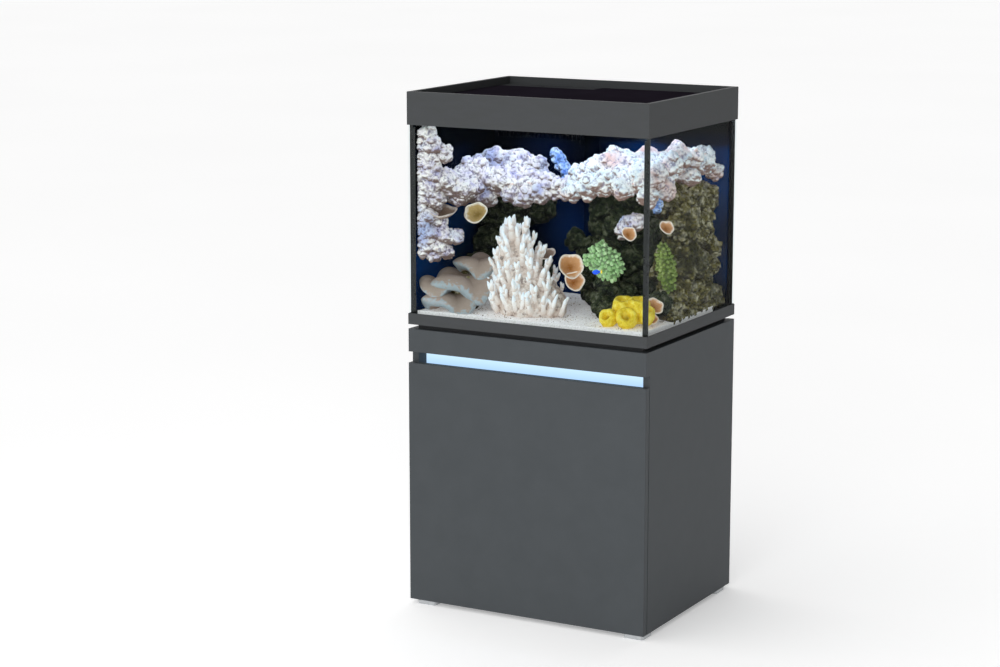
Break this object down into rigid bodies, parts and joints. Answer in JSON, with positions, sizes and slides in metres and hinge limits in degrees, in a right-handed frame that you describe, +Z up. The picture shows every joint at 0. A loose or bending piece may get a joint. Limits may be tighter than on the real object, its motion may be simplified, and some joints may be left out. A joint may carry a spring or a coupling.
{
  "type": "aquarium on stand",
  "caption": "Glass reef aquarium with a dark hood and lids, on a dark cabinet with a hinged door, a lit grip groove, a filter tank inside and small metal feet.",
  "frame": {"origin": "on the floor, under the middle of the unit", "axes": "+X to the right seen from the front, -Y the front with the door, +Z up"},
  "size_m": [0.7, 0.55, 1.386],
  "materials": {
    "anthracite_board": "satin lacquer",
    "dark_board": "matt foil",
    "back_board": "matt foil",
    "hood_board": "satin lacquer",
    "trim_profile": "satin",
    "tank_glass": "polished float glass",
    "sump_glass": "polished float glass",
    "silicone": "black sealant",
    "back_film": "dark blue film",
    "lid_acrylic": "tinted, polished",
    "service_acrylic": "grey, polished",
    "lamp_metal": "anodised",
    "lamp_lens": "opal, lit",
    "diffuser": "opal, lit",
    "light_strip": "white circuit strip",
    "steel": "zinc plated",
    "bush_plastic": "moulded nylon",
    "catch_plastic": "moulded",
    "black_rubber": "moulded",
    "foot_metal": "satin",
    "shaft_acrylic": "black sheet",
    "pipe_plastic": "PVC",
    "felt": "needle felt",
    "pump_plastic": "moulded",
    "skimmer_plastic": "tinted",
    "coral_sand": "fine grains",
    "live_rock": "porous, encrusted",
    "finger_coral": "porous skeleton",
    "leather_coral": "soft, folded",
    "small_coral": "mixed"
  },
  "bodies": {
    "cabinet": {"side_panel_left": "anthracite_board", "side_panel_right": "anthracite_board", "top_panel": "anthracite_board", "bottom_panel": "anthracite_board", "front_fascia": "anthracite_board", "plinth_board": "dark_board", "header_rail": "dark_board", "groove_floor": "dark_board", "groove_back": "dark_board", "back_panel": "back_board", "hood_front": "hood_board", "hood_right": "hood_board", "hood_back": "hood_board", "hood_left": "hood_board", "trim_front": "trim_profile", "trim_right": "trim_profile", "trim_back": "trim_profile", "trim_left": "trim_profile", "front_glass": "tank_glass", "back_glass": "tank_glass", "left_glass": "tank_glass", "right_glass": "tank_glass", "base_glass": "tank_glass", "glass_braces": "tank_glass", "filter_tank": "sump_glass", "silicone_seams": "silicone", "back_film": "back_film", "rear_cover": "lid_acrylic", "lamp_bars": "lamp_metal", "hood_bridge": "lamp_metal", "lamp_lenses": "lamp_lens", "groove_diffuser": "diffuser", "light_strip": "light_strip", "pivot_pins": "steel", "pivot_leaves": "steel", "wood_screws": "steel", "lid_pins": "steel", "magnetic_catch": "catch_plastic", "door_buffers": "black_rubber", "cable_grommet": "black_rubber", "feet": "foot_metal", "shaft_front_wall": "shaft_acrylic", "shaft_side_wall": "shaft_acrylic", "drain_pipe": "pipe_plastic", "return_pipe": "pipe_plastic", "pipe_fittings": "pipe_plastic", "filter_sock": "felt", "return_pump": "pump_plastic", "skimmer_body": "skimmer_plastic", "skimmer_cup": "skimmer_plastic", "sand_bed": "coral_sand", "reef_rock": "live_rock", "finger_coral": "finger_coral", "leather_coral": "leather_coral", "small_corals": "small_coral"},
    "door": {"door_panel": "anthracite_board", "pivot_bushes": "bush_plastic", "strike_plate": "steel"},
    "front_lid": {"front_lid": "lid_acrylic"},
    "service_flap": {"service_flap": "service_acrylic"}
  },
  "joints": [
    {"name": "door_hinge", "type": "hinge", "parent": "cabinet", "child": "door", "pos_m": [-0.344, -0.266, 0.33], "axis": [0, 0, -1], "range_deg": [0, 110]},
    {"name": "front_lid_hinge", "type": "hinge", "parent": "cabinet", "child": "front_lid", "pos_m": [0, 0.2, 1.363], "axis": [-1, 0, 0], "range_deg": [0, 105]},
    {"name": "service_flap_hinge", "type": "hinge", "parent": "cabinet", "child": "service_flap", "pos_m": [-0.19, 0.2585, 1.363], "axis": [-1, 0, 0], "range_deg": [0, 88]}
  ]
}
